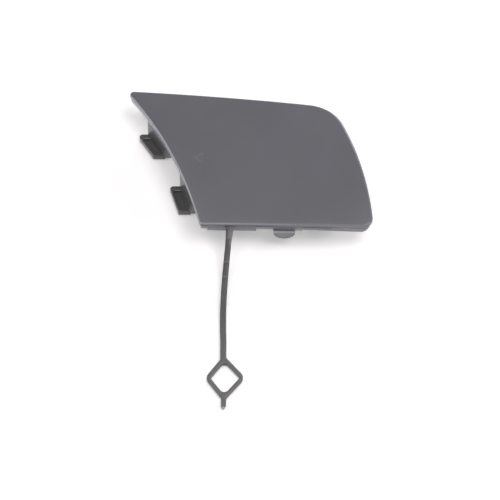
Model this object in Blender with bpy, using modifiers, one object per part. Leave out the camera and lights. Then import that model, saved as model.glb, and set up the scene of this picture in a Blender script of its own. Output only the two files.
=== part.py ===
"""A bumper tow hook cover: one plastic moulding with hooks, snap arms and a tether.

The cover lies face up on a flat surface, metres, +Z up. It is drawn from the lower left corner
of its front outline and centred on its footprint at the end, so that z = 0 is the surface that
the feet, the snap arms and the tether's loop lie on.
"""
import math

import bmesh
import bpy
from mathutils import Matrix, Vector

MM = 0.001

# How far apart two faces are kept that would otherwise lie in one plane
SEAM = 0.05 * MM

# Front outline, seen from above
LOWER_EDGE = 74.1 * MM
LOWER_EDGE_FALL = 1.3 * MM
COVER_HEIGHT = 69.6 * MM
TIP_OVERHANG = 33.5 * MM
TOP_EDGE_FALL = 9.9 * MM
TOP_RIGHT_INSET = 16.4 * MM
TIP_RADIUS = 1.8 * MM
TOP_RIGHT_RADIUS = 19.0 * MM
LOWER_RIGHT_RADIUS = 5.2 * MM
LOWER_LEFT_RADIUS = 1.8 * MM
LEFT_EDGE_HOLLOW = 3.6 * MM
RIGHT_EDGE_BOW = 3.5 * MM
SIDE_STEPS = 9
CORNER_STEPS = 6
LEAST_RADIUS = 0.4 * MM

# Crowned skin and its stepped rim
CROWN_HEIGHT = 18.2 * MM
CROWN_RADIUS_ACROSS = 900 * MM
CROWN_RADIUS_UP = 400 * MM
CROWN_CENTRE = Vector((23.5 * MM, 32.7 * MM))
SKIN = 2.4 * MM
FRONT_EDGE_RADIUS = 1.1 * MM
FRONT_EDGE_DEPTH = 1.6 * MM
FRONT_EDGE_STEPS = 3
RIM_SETBACK = 0.7 * MM
RIM_WALL = 1.6 * MM
RIM_DEPTH = 5.4 * MM
CROWN_RINGS = (0.95, 0.8, 0.6, 0.4, 0.2)

# Stiffening ribs behind the skin
RIB_THICKNESS = 1.2 * MM
RIB_DEPTH = 3.0 * MM
RIB_PITCH_ACROSS = 17.0 * MM
RIB_PITCH_UP = 19.0 * MM
FIRST_RIB_ACROSS = 3.0 * MM
FIRST_RIB_UP = 14.0 * MM

# Hooks on the slanted left side
HOOK_REACH = 3.9 * MM
HOOK_FOOT = 2.2 * MM
HOOK_LIP_RISE = 1.0 * MM
HOOK_LIP_WIDTH = 1.1 * MM
HOOK_NEAR_RIB = 1.25 * MM
HOOK_FAR_RIB = 2.6 * MM
HOOK_RIB_BELOW_LIP = 0.25 * MM
HOOK_SOFTENING = 0.35 * MM
HOOK_CORNER_RADIUS = 1.3 * MM
HOOK_CORNER_SKIM = 0.15 * MM
HOOK_ARM = 1.6 * MM
HOOK_ARM_LEAN = math.radians(13.5)
HOOK_WEB = 1.4 * MM
HOOK_WEB_REACH = 2.8 * MM
HOOK_WEB_RISE = 0.2 * MM
UPPER_HOOK_END = Vector((-21.1 * MM, 42.7 * MM))
UPPER_HOOK_LENGTH = 11.3 * MM
UPPER_HOOK_SLANT = 0.652
LOWER_HOOK_END = Vector((-9.6 * MM, 14.15 * MM))
LOWER_HOOK_LENGTH = 12.9 * MM
LOWER_HOOK_SLANT = 0.327

# Tongue and tether root under the lower edge
TONGUE_START = 31.35 * MM
TONGUE_WIDTH = 9.4 * MM
TONGUE_THICKNESS = 1.9 * MM
TONGUE_PROUD = 1.2 * MM
TONGUE_SHOULDER = 5.7 * MM
TONGUE_DEPTH = 11.0 * MM
TONGUE_ROUND = 4.5 * MM
TONGUE_STEPS = 12
TONGUE_NECK_SHARE = 0.96
TONGUE_NECK_RISE = 0.2 * MM
LEDGE_START = 31.1 * MM
LEDGE_WIDTH = 12.7 * MM
LEDGE_DEPTH = 5.9 * MM
LEDGE_PROUD = SEAM * 2
ROOT_WALL_START = 3.2 * MM
ROOT_WALL_WIDTH = 20.9 * MM
ROOT_WALL_DEPTH = 6.8 * MM
ROOT_WALL_PROUD = SEAM

# Tether, loop and sprue stub
TETHER_WIDTH = 2.6 * MM
TETHER_THICKNESS = 1.6 * MM
TETHER_ROOT_WIDTH = 3.9 * MM
TETHER_ROOT_TAPER = 7.5 * MM
TETHER_ROOT_DROP = 3.0 * MM
TETHER_START = 12.5 * MM
TETHER_LENGTH = 58.3 * MM
TETHER_SWAY = 2.37 * MM
TETHER_SWAY_START = 0.085
TETHER_SWAY_SOFTNESS = 0.03
TETHER_SWAY_RUN = 0.6
TETHER_SWAY_LIMIT = 1.27
TETHER_FALL_POWER = 3.2
TETHER_LIFT = 0.12 * MM
TETHER_STEPS = 20
LOOP_HALF_WIDTH = 8.85 * MM
LOOP_HALF_LENGTH = 11.1 * MM
LOOP_BAR = 2.05 * MM
LOOP_OFFSET = 0.71 * MM
LOOP_SKEW = 0.5 * MM
LOOP_THICKNESS = 1.9 * MM
LOOP_SIDE_RADIUS = 3.4 * MM
LOOP_END_RADIUS = 1.2 * MM
LOOP_HOLE_SIDE_RADIUS = 0.8 * MM
LOOP_HOLE_END_RADIUS = 1.9 * MM
STUB_WIDTH = 2.1 * MM
STUB_LENGTH = 2.5 * MM

# Snap arms behind the right hand side
SNAP_ARM_WIDTH = 10.0 * MM
SNAP_ARM_THICKNESS = 1.8 * MM
SNAP_BARB = 1.6 * MM
SNAP_BARB_HEIGHT = 3.2 * MM
SNAP_BARB_RETURN = 0.8 * MM
SNAP_TOE = 1.1 * MM
SNAP_ARM_INSET = 8.5 * MM
SNAP_ARM_HEIGHTS = (17.0 * MM, 37.0 * MM)

# Finish
PRIMER_COLOUR = (0.14, 0.14, 0.155)
PRIMER_ROUGHNESS = 0.42
SHARP_EDGE_ANGLE = math.radians(28)


def corner_points(inset=0.0):
    """The four corners of the front outline, anticlockwise from the lower left, moved inward."""
    corners = [
        Vector((0, 0)),
        Vector((LOWER_EDGE, -LOWER_EDGE_FALL)),
        Vector((LOWER_EDGE - TOP_RIGHT_INSET, COVER_HEIGHT - TOP_EDGE_FALL)),
        Vector((-TIP_OVERHANG, COVER_HEIGHT)),
    ]
    return [inset_corner(corners, i, inset) for i in range(4)]


def inset_corner(corners, index, inset):
    """One corner, where its two sides cross once both have moved inward."""
    here = corners[index]
    back = (here - corners[index - 1]).normalized()
    ahead = (corners[(index + 1) % len(corners)] - here).normalized()
    turn = back.x * ahead.y - back.y * ahead.x
    return here + (ahead - back) * inset / turn


class Side:
    """One side of the outline, straight or bulging outward by its bow."""

    def __init__(self, start, end, bow):
        self.start = start
        self.along = end - start
        self.out = Vector((self.along.y, -self.along.x)).normalized() * bow * 4

    def at(self, t):
        """Point at share t of the side."""
        return self.start + self.along * t + self.out * t * (1 - t)

    def heading(self, t):
        """Direction of travel at share t of the side."""
        return (self.along + self.out * (1 - 2 * t)).normalized()

    def share(self, distance):
        """Share of the side that a distance takes up."""
        return distance / self.along.length


def rounded_corner(start, heading_in, end, heading_out, steps):
    """Points of a smooth curve that leaves start and reaches end along the two headings."""
    turn = heading_in.x * heading_out.y - heading_in.y * heading_out.x
    gap = end - start
    ahead = (gap.x * heading_out.y - gap.y * heading_out.x) / turn
    corner = start + heading_in * ahead
    weight = math.cos(heading_in.angle(heading_out) / 2)
    points = []
    for i in range(steps + 1):
        t = i / steps
        a = (1 - t) ** 2
        b = 2 * t * (1 - t) * weight
        c = t ** 2
        points.append((start * a + corner * b + end * c) / (a + b + c))
    return points


def rounded_outline(corners, radii, bows, side_steps, corner_steps):
    """A closed outline of bowed sides and rounded corners. bows[i] is the side that leaves corner i."""
    count = len(corners)
    sides = [Side(corners[i], corners[(i + 1) % count], bows[i]) for i in range(count)]
    reaches = []
    for i in range(count):
        turn = sides[i - 1].heading(1).angle(sides[i].heading(0))
        reaches.append(radii[i] * math.tan(turn / 2))
    outline = []
    for i in range(count):
        before = sides[i - 1]
        side = sides[i]
        leave = 1 - before.share(reaches[i])
        low = side.share(reaches[i])
        high = 1 - side.share(reaches[(i + 1) % count])
        outline.extend(rounded_corner(
            before.at(leave), before.heading(leave), side.at(low), side.heading(low), corner_steps))
        outline.extend(side.at(low + (high - low) * k / side_steps) for k in range(1, side_steps))
    return outline


def front_outline(inset=0.0):
    """The front outline moved inward, always with the same number of points."""
    radii = (LOWER_LEFT_RADIUS, LOWER_RIGHT_RADIUS, TOP_RIGHT_RADIUS, TIP_RADIUS)
    return rounded_outline(
        corner_points(inset), [max(radius - inset, LEAST_RADIUS) for radius in radii],
        (0.0, RIGHT_EDGE_BOW, 0.0, -LEFT_EDGE_HOLLOW), SIDE_STEPS, CORNER_STEPS,
    )


def crown(x, y):
    """Height of the front face over a point of the outline plane."""
    across = (x - CROWN_CENTRE.x) ** 2 / (2 * CROWN_RADIUS_ACROSS)
    up = (y - CROWN_CENTRE.y) ** 2 / (2 * CROWN_RADIUS_UP)
    return CROWN_HEIGHT - across - up


def new_material(name, colour, roughness):
    """A plain moulded plastic."""
    material = bpy.data.materials.new(name)
    material.use_nodes = True
    shader = material.node_tree.nodes["Principled BSDF"]
    shader.inputs["Base Color"].default_value = (*colour, 1)
    shader.inputs["Roughness"].default_value = roughness
    shader.inputs["Metallic"].default_value = 0
    return material


def new_object(name, mesh, collection):
    """A mesh as an object in one of the two collections."""
    thing = bpy.data.objects.new(name, mesh)
    collection.objects.link(thing)
    return thing


def loft(name, rings, collection):
    """A closed body through rings of the same length, with its two end rings closed to a point."""
    bm = bmesh.new()
    rows = [[bm.verts.new(point) for point in ring] for ring in rings]
    count = len(rows[0])
    for upper, lower in zip(rows, rows[1:]):
        for i in range(count):
            k = (i + 1) % count
            bm.faces.new((upper[i], lower[i], lower[k], upper[k]))
    for row, turned in ((rows[0], False), (rows[-1], True)):
        middle = bm.verts.new(sum((v.co for v in row), Vector()) / count)
        for i in range(count):
            pair = (row[i], row[(i + 1) % count])
            bm.faces.new((middle, *(reversed(pair) if turned else pair)))
    bmesh.ops.triangulate(bm, faces=bm.faces)
    bmesh.ops.recalc_face_normals(bm, faces=bm.faces)
    mesh = bpy.data.meshes.new(name)
    bm.to_mesh(mesh)
    bm.free()
    return new_object(name, mesh, collection)


def ring_at(inset, drop, shrink=1.0):
    """One ring of the cover's section: the inset outline at a depth below the crowned face."""
    ring = []
    for point in front_outline(inset):
        spot = CROWN_CENTRE + (point - CROWN_CENTRE) * shrink
        ring.append(Vector((spot.x, spot.y, crown(spot.x, spot.y) - drop)))
    return ring


def cover_shell(collection):
    """The crowned skin, its rounded front edge and the stepped rim, as one swept section."""
    rings = [ring_at(FRONT_EDGE_RADIUS, 0, shrink) for shrink in reversed(CROWN_RINGS)]
    for i in range(FRONT_EDGE_STEPS + 1):
        angle = math.pi / 2 * i / FRONT_EDGE_STEPS
        inset = FRONT_EDGE_RADIUS * (1 - math.sin(angle))
        rings.append(ring_at(inset, FRONT_EDGE_RADIUS * (1 - math.cos(angle))))
    rings.append(ring_at(0, FRONT_EDGE_DEPTH))
    rings.append(ring_at(RIM_SETBACK, FRONT_EDGE_DEPTH))
    rings.append(ring_at(RIM_SETBACK, RIM_DEPTH))
    inner = RIM_SETBACK + RIM_WALL
    rings.append(ring_at(inner, RIM_DEPTH))
    rings.append(ring_at(inner, SKIN))
    rings.extend(ring_at(inner, SKIN, shrink) for shrink in CROWN_RINGS[1:])
    return loft("shell", rings, collection)


def plate(name, outlines, thickness, collection):
    """A flat plate from closed outlines in the XY plane, the first solid and the rest holes."""
    curve = bpy.data.curves.new(name, "CURVE")
    curve.dimensions = "2D"
    curve.fill_mode = "BOTH"
    curve.extrude = thickness / 2
    for outline in outlines:
        spline = curve.splines.new("POLY")
        spline.points.add(len(outline) - 1)
        for point, spot in zip(spline.points, outline):
            point.co = (spot[0], spot[1], 0, 1)
        spline.use_cyclic_u = True
    drawn = bpy.data.objects.new(name, curve)
    bpy.context.scene.collection.objects.link(drawn)
    bpy.context.view_layer.update()
    evaluated = drawn.evaluated_get(bpy.context.evaluated_depsgraph_get())
    mesh = bpy.data.meshes.new_from_object(evaluated)
    bpy.data.objects.remove(drawn)
    bm = bmesh.new()
    bm.from_mesh(mesh)
    bmesh.ops.remove_doubles(bm, verts=bm.verts, dist=0.001 * MM)
    bmesh.ops.recalc_face_normals(bm, faces=bm.faces)
    bm.to_mesh(mesh)
    bm.free()
    mesh.materials.clear()
    return new_object(name, mesh, collection)


def box(name, lowest, highest, collection):
    """A box between two corners."""
    bm = bmesh.new()
    bmesh.ops.create_cube(bm, size=1)
    size = Vector(highest) - Vector(lowest)
    middle = (Vector(highest) + Vector(lowest)) / 2
    bmesh.ops.transform(bm, matrix=Matrix.Translation(middle) @ Matrix.Diagonal((*size, 1)), verts=bm.verts)
    mesh = bpy.data.meshes.new(name)
    bm.to_mesh(mesh)
    bm.free()
    return new_object(name, mesh, collection)


def combine(target, other, operation):
    """Joins, cuts or intersects two solids, and hides the second."""
    modifier = target.modifiers.new(other.name, "BOOLEAN")
    modifier.operation = operation
    modifier.object = other
    modifier.solver = "EXACT"
    other.hide_render = True
    other.display_type = "WIRE"


def settle(thing):
    """Applies an object's modifiers, so that the next step works on a plain mesh."""
    bpy.context.view_layer.update()
    evaluated = thing.evaluated_get(bpy.context.evaluated_depsgraph_get())
    mesh = bpy.data.meshes.new_from_object(evaluated)
    thing.modifiers.clear()
    thing.data = mesh


def stiffening_ribs(cutters):
    """A grid of ribs behind the skin, trimmed to the inside of the rim."""
    half_rim = RIM_SETBACK + RIM_WALL / 2
    outline = front_outline(half_rim)
    inside = plate("rib_limit", [outline], CROWN_HEIGHT * 2, cutters)
    lowest = CROWN_HEIGHT - SKIN - RIB_DEPTH
    highest = min(crown(p.x, p.y) for p in outline) - SKIN / 2
    left = min(p.x for p in outline)
    right = max(p.x for p in outline)
    bottom = min(p.y for p in outline)
    top = max(p.y for p in outline)
    y = FIRST_RIB_UP
    ribs = box("rib_first", (left, y, lowest), (right, y + RIB_THICKNESS, highest), cutters)
    while y + RIB_PITCH_UP < top:
        y += RIB_PITCH_UP
        rib = box("rib_up", (left, y, lowest), (right, y + RIB_THICKNESS, highest), cutters)
        combine(ribs, rib, "UNION")
    x = FIRST_RIB_ACROSS
    while x < right:
        rib = box("rib_across", (x, bottom, lowest), (x + RIB_THICKNESS, top, highest), cutters)
        combine(ribs, rib, "UNION")
        x += RIB_PITCH_ACROSS
    combine(ribs, inside, "INTERSECT")
    settle(ribs)
    return ribs


def slanted(name, profile, length, end, slant, cutters):
    """An XZ profile drawn out along a slanted line, its ends parallel to X.

    end is the near end of the line, and slant is how far it moves along -X for each unit of +Y.
    """
    solid = plate(name, [profile], length, cutters)
    place = Matrix((
        (1, 0, -slant, end.x - slant * length / 2),
        (0, 0, 1, end.y + length / 2),
        (0, 1, 0, 0),
        (0, 0, 0, 1),
    ))
    solid.data.transform(place)
    if place.determinant() < 0:
        solid.data.flip_normals()
    return solid


def hook(name, end, length, slant, cutters):
    """One hook: a leaning arm with a web behind it, and a foot with a lip and ribs at its ends.

    end is where the foot's outer edge meets its near end.
    """
    root = crown(end.x, end.y + length / 2) - SKIN / 2
    lean = math.tan(HOOK_ARM_LEAN)
    lip_top = HOOK_FOOT + HOOK_LIP_RISE
    flare = lean * (root - lip_top) / slant
    soften = HOOK_SOFTENING
    section = [
        (soften, 0),
        (HOOK_REACH + HOOK_ARM, 0),
        (HOOK_REACH + HOOK_ARM + lean * root, root),
        (HOOK_REACH + lean * root, root),
        (HOOK_REACH + lean * HOOK_FOOT, HOOK_FOOT),
        (HOOK_LIP_WIDTH, HOOK_FOOT),
        (HOOK_LIP_WIDTH - soften, lip_top),
        (soften, lip_top),
        (0, lip_top - soften),
        (0, soften),
    ]
    solid = slanted(name, section, length + flare, end, slant, cutters)
    combine(solid, flare_cutter(name, end, length, flare, lip_top, root, cutters), "DIFFERENCE")
    rib_top = lip_top - HOOK_RIB_BELOW_LIP
    inside_lip = HOOK_LIP_WIDTH * 0.6
    inside_arm = HOOK_REACH + HOOK_ARM / 2
    rib = [
        (inside_lip, HOOK_FOOT / 2),
        (inside_arm, HOOK_FOOT / 2),
        (inside_arm + lean * rib_top, rib_top),
        (inside_lip, rib_top),
    ]
    far = length - HOOK_FAR_RIB - SEAM
    for label, width, offset in (("_near_rib", HOOK_NEAR_RIB, SEAM), ("_far_rib", HOOK_FAR_RIB, far)):
        place = Vector((end.x - slant * offset, end.y + offset))
        combine(solid, slanted(name + label, rib, width, place, slant, cutters), "UNION")
    inner = HOOK_REACH + HOOK_ARM + HOOK_WEB_REACH
    web = [
        (inside_arm + lean * HOOK_WEB_RISE, HOOK_WEB_RISE),
        (inner, HOOK_WEB_RISE),
        (inner + lean * root, root - SEAM),
        (inside_arm + lean * root, root - SEAM),
    ]
    place = Vector((end.x - slant * SEAM * 2, end.y + SEAM * 2))
    combine(solid, slanted(name + "_web", web, HOOK_WEB, place, slant, cutters), "UNION")
    combine(solid, corner_cutter(name, end, length, slant, lip_top, cutters), "DIFFERENCE")
    settle(solid)
    return solid


def flare_cutter(name, end, length, flare, lip_top, root, cutters):
    """What lies past a hook's far end: square to the foot, then widening along the arm."""
    clear = 60 * MM
    far = end.y + length
    outline = [
        (far, -clear), (far + clear, -clear), (far + clear, root + clear),
        (far + flare, root + clear), (far + flare, root), (far, lip_top),
    ]
    solid = plate(name + "_end", [outline], clear, cutters)
    solid.data.transform(Matrix(((0, 0, 1, end.x), (1, 0, 0, 0), (0, 1, 0, 0), (0, 0, 0, 1))))
    return solid


def corner_cutter(name, end, length, slant, lip_top, cutters):
    """What lies past the rounding of a foot's far outer corner."""
    heading_in = Vector((-1, 0))
    heading_out = Vector((slant, -1)).normalized()
    outward = (heading_in - heading_out).normalized() * HOOK_CORNER_SKIM
    corner = Vector((end.x - slant * length, end.y + length)) + outward
    reach = HOOK_CORNER_RADIUS * math.tan(heading_in.angle(heading_out) / 2)
    clear = 1 * MM
    outline = rounded_corner(
        corner - heading_in * reach, heading_in, corner + heading_out * reach, heading_out, CORNER_STEPS)
    outline += [outline[-1] + Vector((-clear, -clear * 0.5)), corner + Vector((-clear, clear)),
                outline[0] + Vector((0, clear))]
    solid = plate(name + "_corner", [outline], lip_top + clear * 2, cutters)
    solid.data.transform(Matrix.Translation((0, 0, lip_top / 2)))
    return solid


def lower_edge_place(x):
    """Where a feature stands on the lower edge, turned to follow the edge."""
    fall = LOWER_EDGE_FALL / LOWER_EDGE
    return Matrix.Translation((x, -fall * x, 0)) @ Matrix.Rotation(-math.atan(fall), 4, "Z")


def lower_wall(name, start, width, depth, proud, cutters):
    """A wall along the lower edge that reaches deeper than the rim."""
    place = lower_edge_place(start + width / 2)
    surface = crown(place.translation.x, place.translation.y)
    face = RIM_SETBACK - proud
    wall = box(
        name, (-width / 2, face, surface - depth),
        (width / 2, face + RIM_WALL, surface - FRONT_EDGE_RADIUS), cutters,
    )
    wall.data.transform(place)
    return wall


def tongue(cutters):
    """The rounded tongue that hangs under the lower edge."""
    edge = lower_edge_place(TONGUE_START + TONGUE_WIDTH / 2)
    surface = crown(edge.translation.x, edge.translation.y)
    bottom = surface - TONGUE_DEPTH
    rounding = []
    for i in range(TONGUE_STEPS + 1):
        angle = math.pi * i / TONGUE_STEPS
        rounding.append((-TONGUE_WIDTH / 2 * math.cos(angle), bottom + TONGUE_ROUND * (1 - math.sin(angle))))
    front = RIM_SETBACK - TONGUE_PROUD
    shoulder = surface - TONGUE_SHOULDER
    solid = upright_plate("tongue", rounding, shoulder, front, TONGUE_THICKNESS, edge, cutters)
    narrowed = [(x * TONGUE_NECK_SHARE, z + TONGUE_NECK_RISE) for x, z in rounding]
    neck_front = front + TONGUE_THICKNESS / 2
    neck_thickness = RIM_SETBACK + RIM_WALL - SEAM * 3 - neck_front
    neck = upright_plate(
        "tongue_neck", narrowed, surface - FRONT_EDGE_DEPTH, neck_front, neck_thickness, edge, cutters)
    combine(solid, neck, "UNION")
    settle(solid)
    return solid


def upright_plate(name, rounding, top, front, thickness, edge, cutters):
    """A plate that hangs under the lower edge, with a rounded lower end and a square top."""
    outline = [(rounding[-1][0], top), (rounding[0][0], top)] + rounding
    solid = plate(name, [outline], thickness, cutters)
    upright = Matrix(((1, 0, 0, 0), (0, 0, 1, front + thickness / 2), (0, 1, 0, 0), (0, 0, 0, 1)))
    solid.data.transform(edge @ upright)
    solid.data.flip_normals()
    return solid


def tether_point(t):
    """Middle of the strap's upper side at share t of its run, from its root to the loop."""
    edge = lower_edge_place(TETHER_START).translation
    start = Vector((edge.x, edge.y + RIM_SETBACK + RIM_WALL * 0.7))
    root_height = crown(start.x, start.y) - TETHER_ROOT_DROP
    low = TETHER_THICKNESS + TETHER_LIFT
    fall = (1 - t) ** TETHER_FALL_POWER
    y = start.y - TETHER_LENGTH * t
    return Vector((start.x - tether_sway(t), y, low + (root_height - low) * fall))


def tether_sway(t):
    """How far the strap has drifted to the left at share t: straight at first, then out and a little back."""
    past = t - TETHER_SWAY_START
    ramp = (past + math.hypot(past, TETHER_SWAY_SOFTNESS)) / 2
    return TETHER_SWAY * math.sin(min(ramp / TETHER_SWAY_RUN, TETHER_SWAY_LIMIT) * math.pi / 2)


def tether(cutters):
    """The strap: a ribbon that tapers from its root, thickened downward."""
    bm = bmesh.new()
    rows = []
    for i in range(TETHER_STEPS + 1):
        t = i / TETHER_STEPS
        middle = tether_point(t)
        share = max(0, 1 - TETHER_LENGTH * t / TETHER_ROOT_TAPER)
        right = TETHER_WIDTH / 2 + (TETHER_ROOT_WIDTH - TETHER_WIDTH) * share
        rows.append((
            bm.verts.new(middle - Vector((TETHER_WIDTH / 2, 0, 0))),
            bm.verts.new(middle + Vector((right, 0, 0))),
        ))
    for above, below in zip(rows, rows[1:]):
        bm.faces.new((above[0], below[0], below[1], above[1]))
    mesh = bpy.data.meshes.new("tether")
    bm.to_mesh(mesh)
    bm.free()
    strap = new_object("tether", mesh, cutters)
    thickness = strap.modifiers.new("thickness", "SOLIDIFY")
    thickness.thickness = TETHER_THICKNESS
    thickness.offset = -1
    settle(strap)
    return strap


def diamond(share, side_radius, end_radius, centre):
    """The loop's rounded rhombus at a share of its size, anticlockwise from its right corner."""
    across = Vector((LOOP_HALF_WIDTH, 0)) * share
    up = Vector((0, LOOP_HALF_LENGTH)) * share
    skew = Vector((LOOP_SKEW, 0)) * share
    corners = [centre + across, centre + up - skew, centre - across, centre - up - skew]
    return rounded_outline(corners, (side_radius, end_radius) * 2, (0.0,) * 4, 1, CORNER_STEPS)


def loop_centre():
    """Middle of the diamond loop, so that its upper point lies over the strap's end."""
    end = tether_point(1)
    return Vector((end.x + LOOP_OFFSET, end.y - LOOP_HALF_LENGTH + LOOP_BAR))


def loop_and_stub(cutters):
    """The diamond loop at the end of the strap and the sprue stub past it."""
    centre = loop_centre()
    reach = LOOP_HALF_WIDTH * LOOP_HALF_LENGTH / math.hypot(LOOP_HALF_WIDTH, LOOP_HALF_LENGTH)
    outer = diamond(1, LOOP_SIDE_RADIUS, LOOP_END_RADIUS, centre)
    hole = diamond(1 - LOOP_BAR / reach, LOOP_HOLE_SIDE_RADIUS, LOOP_HOLE_END_RADIUS, centre)
    loop = plate("loop", [outer, hole], LOOP_THICKNESS, cutters)
    loop.data.transform(Matrix.Translation((0, 0, LOOP_THICKNESS / 2)))
    middle = centre.x - LOOP_SKEW
    root = centre.y - LOOP_HALF_LENGTH + LOOP_BAR
    end = centre.y - LOOP_HALF_LENGTH - STUB_LENGTH
    half = STUB_WIDTH / 2
    stub = plate(
        "stub",
        [[(middle - half, root), (middle - half, end + half), (middle - half * 0.7, end + half * 0.3),
          (middle + half * 0.4, end), (middle + half * 0.8, end + half), (middle + half, root)]],
        LOOP_THICKNESS * 0.8, cutters,
    )
    stub.data.transform(Matrix.Translation((0, 0, LOOP_THICKNESS / 2)))
    combine(loop, stub, "UNION")
    settle(loop)
    return loop


def snap_arm(name, height, cutters):
    """One snap arm behind the right hand side, with a barb that faces outward."""
    slant = TOP_RIGHT_INSET / (COVER_HEIGHT - TOP_EDGE_FALL)
    outer = LOWER_EDGE - slant * height - SNAP_ARM_INSET
    root = crown(outer, height + SNAP_ARM_WIDTH / 2) - SKIN / 2
    inner = outer - SNAP_ARM_THICKNESS
    profile = [
        (inner, 0),
        (inner + SNAP_TOE, 0),
        (outer + SNAP_BARB, SNAP_BARB_HEIGHT),
        (outer, SNAP_BARB_HEIGHT + SNAP_BARB_RETURN),
        (outer, root),
        (inner, root),
    ]
    return slanted(name, profile, SNAP_ARM_WIDTH, Vector((0, height)), slant, cutters)


def build():
    """Models the moulding and leaves one object in the named collection."""
    for thing in list(bpy.data.objects):
        bpy.data.objects.remove(thing)
    scene = bpy.context.scene.collection
    cover = bpy.data.collections.new("bumper_tow_hook_cover")
    cutters = bpy.data.collections.new("cutters")
    scene.children.link(cover)
    scene.children.link(cutters)

    moulding = cover_shell(cover)
    moulding.name = "tow_hook_cover"
    features = [
        stiffening_ribs(cutters),
        hook("upper_hook", UPPER_HOOK_END, UPPER_HOOK_LENGTH, UPPER_HOOK_SLANT, cutters),
        hook("lower_hook", LOWER_HOOK_END, LOWER_HOOK_LENGTH, LOWER_HOOK_SLANT, cutters),
        lower_wall("ledge", LEDGE_START, LEDGE_WIDTH, LEDGE_DEPTH, LEDGE_PROUD, cutters),
        tongue(cutters),
        lower_wall("root_wall", ROOT_WALL_START, ROOT_WALL_WIDTH, ROOT_WALL_DEPTH, ROOT_WALL_PROUD, cutters),
        tether(cutters),
        loop_and_stub(cutters),
    ]
    for i, height in enumerate(SNAP_ARM_HEIGHTS):
        features.append(snap_arm("snap_arm_%d" % (i + 1), height, cutters))
    for feature in features:
        combine(moulding, feature, "UNION")
        settle(moulding)

    corners = [v.co for v in moulding.data.vertices]
    middle_x = (min(c.x for c in corners) + max(c.x for c in corners)) / 2
    middle_y = (min(c.y for c in corners) + max(c.y for c in corners)) / 2
    moulding.data.transform(Matrix.Translation((-middle_x, -middle_y, 0)))
    moulding.data.materials.clear()
    moulding.data.materials.append(new_material("primed_plastic", PRIMER_COLOUR, PRIMER_ROUGHNESS))
    moulding.data.shade_smooth()
    moulding.data.set_sharp_from_angle(angle=SHARP_EDGE_ANGLE)


build()
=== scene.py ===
"""A bumper tow hook cover, dressed over its packed CAD frame, with a plain studio.

The cover lies face up: a crowned face in grey primer with a stepped rim, two hooks on the
slanted left side, a tongue and a deeper wall under the lower edge, and a moulded tether that
runs down to the table and ends in a diamond loop with a torn sprue stub.

Shapes are drawn from the lower left corner of the face, in metres with +Z up, and moved into
the frame when a piece is made.
"""
import math

import bmesh
import bpy
from bpy.props import FloatProperty, FloatVectorProperty, PointerProperty
from mathutils import Matrix, Vector


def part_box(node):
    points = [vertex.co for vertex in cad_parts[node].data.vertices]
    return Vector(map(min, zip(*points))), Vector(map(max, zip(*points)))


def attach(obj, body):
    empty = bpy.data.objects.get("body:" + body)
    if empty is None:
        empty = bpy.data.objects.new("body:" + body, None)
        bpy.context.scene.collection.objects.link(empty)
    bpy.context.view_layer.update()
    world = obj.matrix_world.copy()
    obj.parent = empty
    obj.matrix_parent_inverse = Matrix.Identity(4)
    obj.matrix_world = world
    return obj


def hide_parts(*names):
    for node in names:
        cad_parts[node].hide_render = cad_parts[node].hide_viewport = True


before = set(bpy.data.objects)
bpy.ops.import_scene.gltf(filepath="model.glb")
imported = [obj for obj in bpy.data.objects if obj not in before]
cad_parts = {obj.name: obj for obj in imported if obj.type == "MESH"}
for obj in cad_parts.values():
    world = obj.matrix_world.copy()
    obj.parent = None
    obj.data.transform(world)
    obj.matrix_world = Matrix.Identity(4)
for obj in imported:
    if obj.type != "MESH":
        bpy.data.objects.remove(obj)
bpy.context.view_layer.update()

bl_info = {
    "name": "Bumper Tow Hook Cover",
    "version": (1, 0, 0),
    "blender": (4, 5, 0),
    "location": "3D View > Sidebar > Tow Cover",
    "description": "Builds a moulded bumper tow hook cover with its tether, and a plain studio",
    "category": "Add Mesh",
}

MM = 0.001
NODE = "tow_hook_cover"
BODY = "root"

# The highest point of the face, and the rings from there out to its edge.
CROWN_CENTRE = Vector((23.5 * MM, 32.7 * MM))
CROWN_STEPS = 14

# Points along a side of the face and around one of its corners.
SIDE_STEPS = 36
CORNER_STEPS = 12

# Rounding of the edges of the step and the rim.
LIP = 0.2 * MM

# A softened edge has one point between its sides, this share of the rounding in from each.
ARC_MIDDLE = 0.3

# Places of x and y in a point.
ACROSS = 0
UP = 1


def length(name, description, default):
    """A size that a user can change, given in millimetres."""
    return FloatProperty(name=name, description=description, default=default * MM, unit="LENGTH", precision=5)


def degrees(name, description, default):
    """An angle that a user can change, given in degrees."""
    return FloatProperty(
        name=name, description=description, default=math.radians(default), subtype="ANGLE")


def power(name, description, default):
    """The power of a lamp that a user can change, in watts."""
    return FloatProperty(name=name, description=description, default=default, unit="POWER")


def colour(name, description, default):
    """A colour that a user can change, linear."""
    return FloatVectorProperty(
        name=name, description=description, default=default, subtype="COLOR", size=3, min=0, max=1)


def share(name, description, default):
    """A share from 0 to 1 that a user can change."""
    return FloatProperty(name=name, description=description, default=default, min=0, max=1, subtype="FACTOR")


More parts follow.
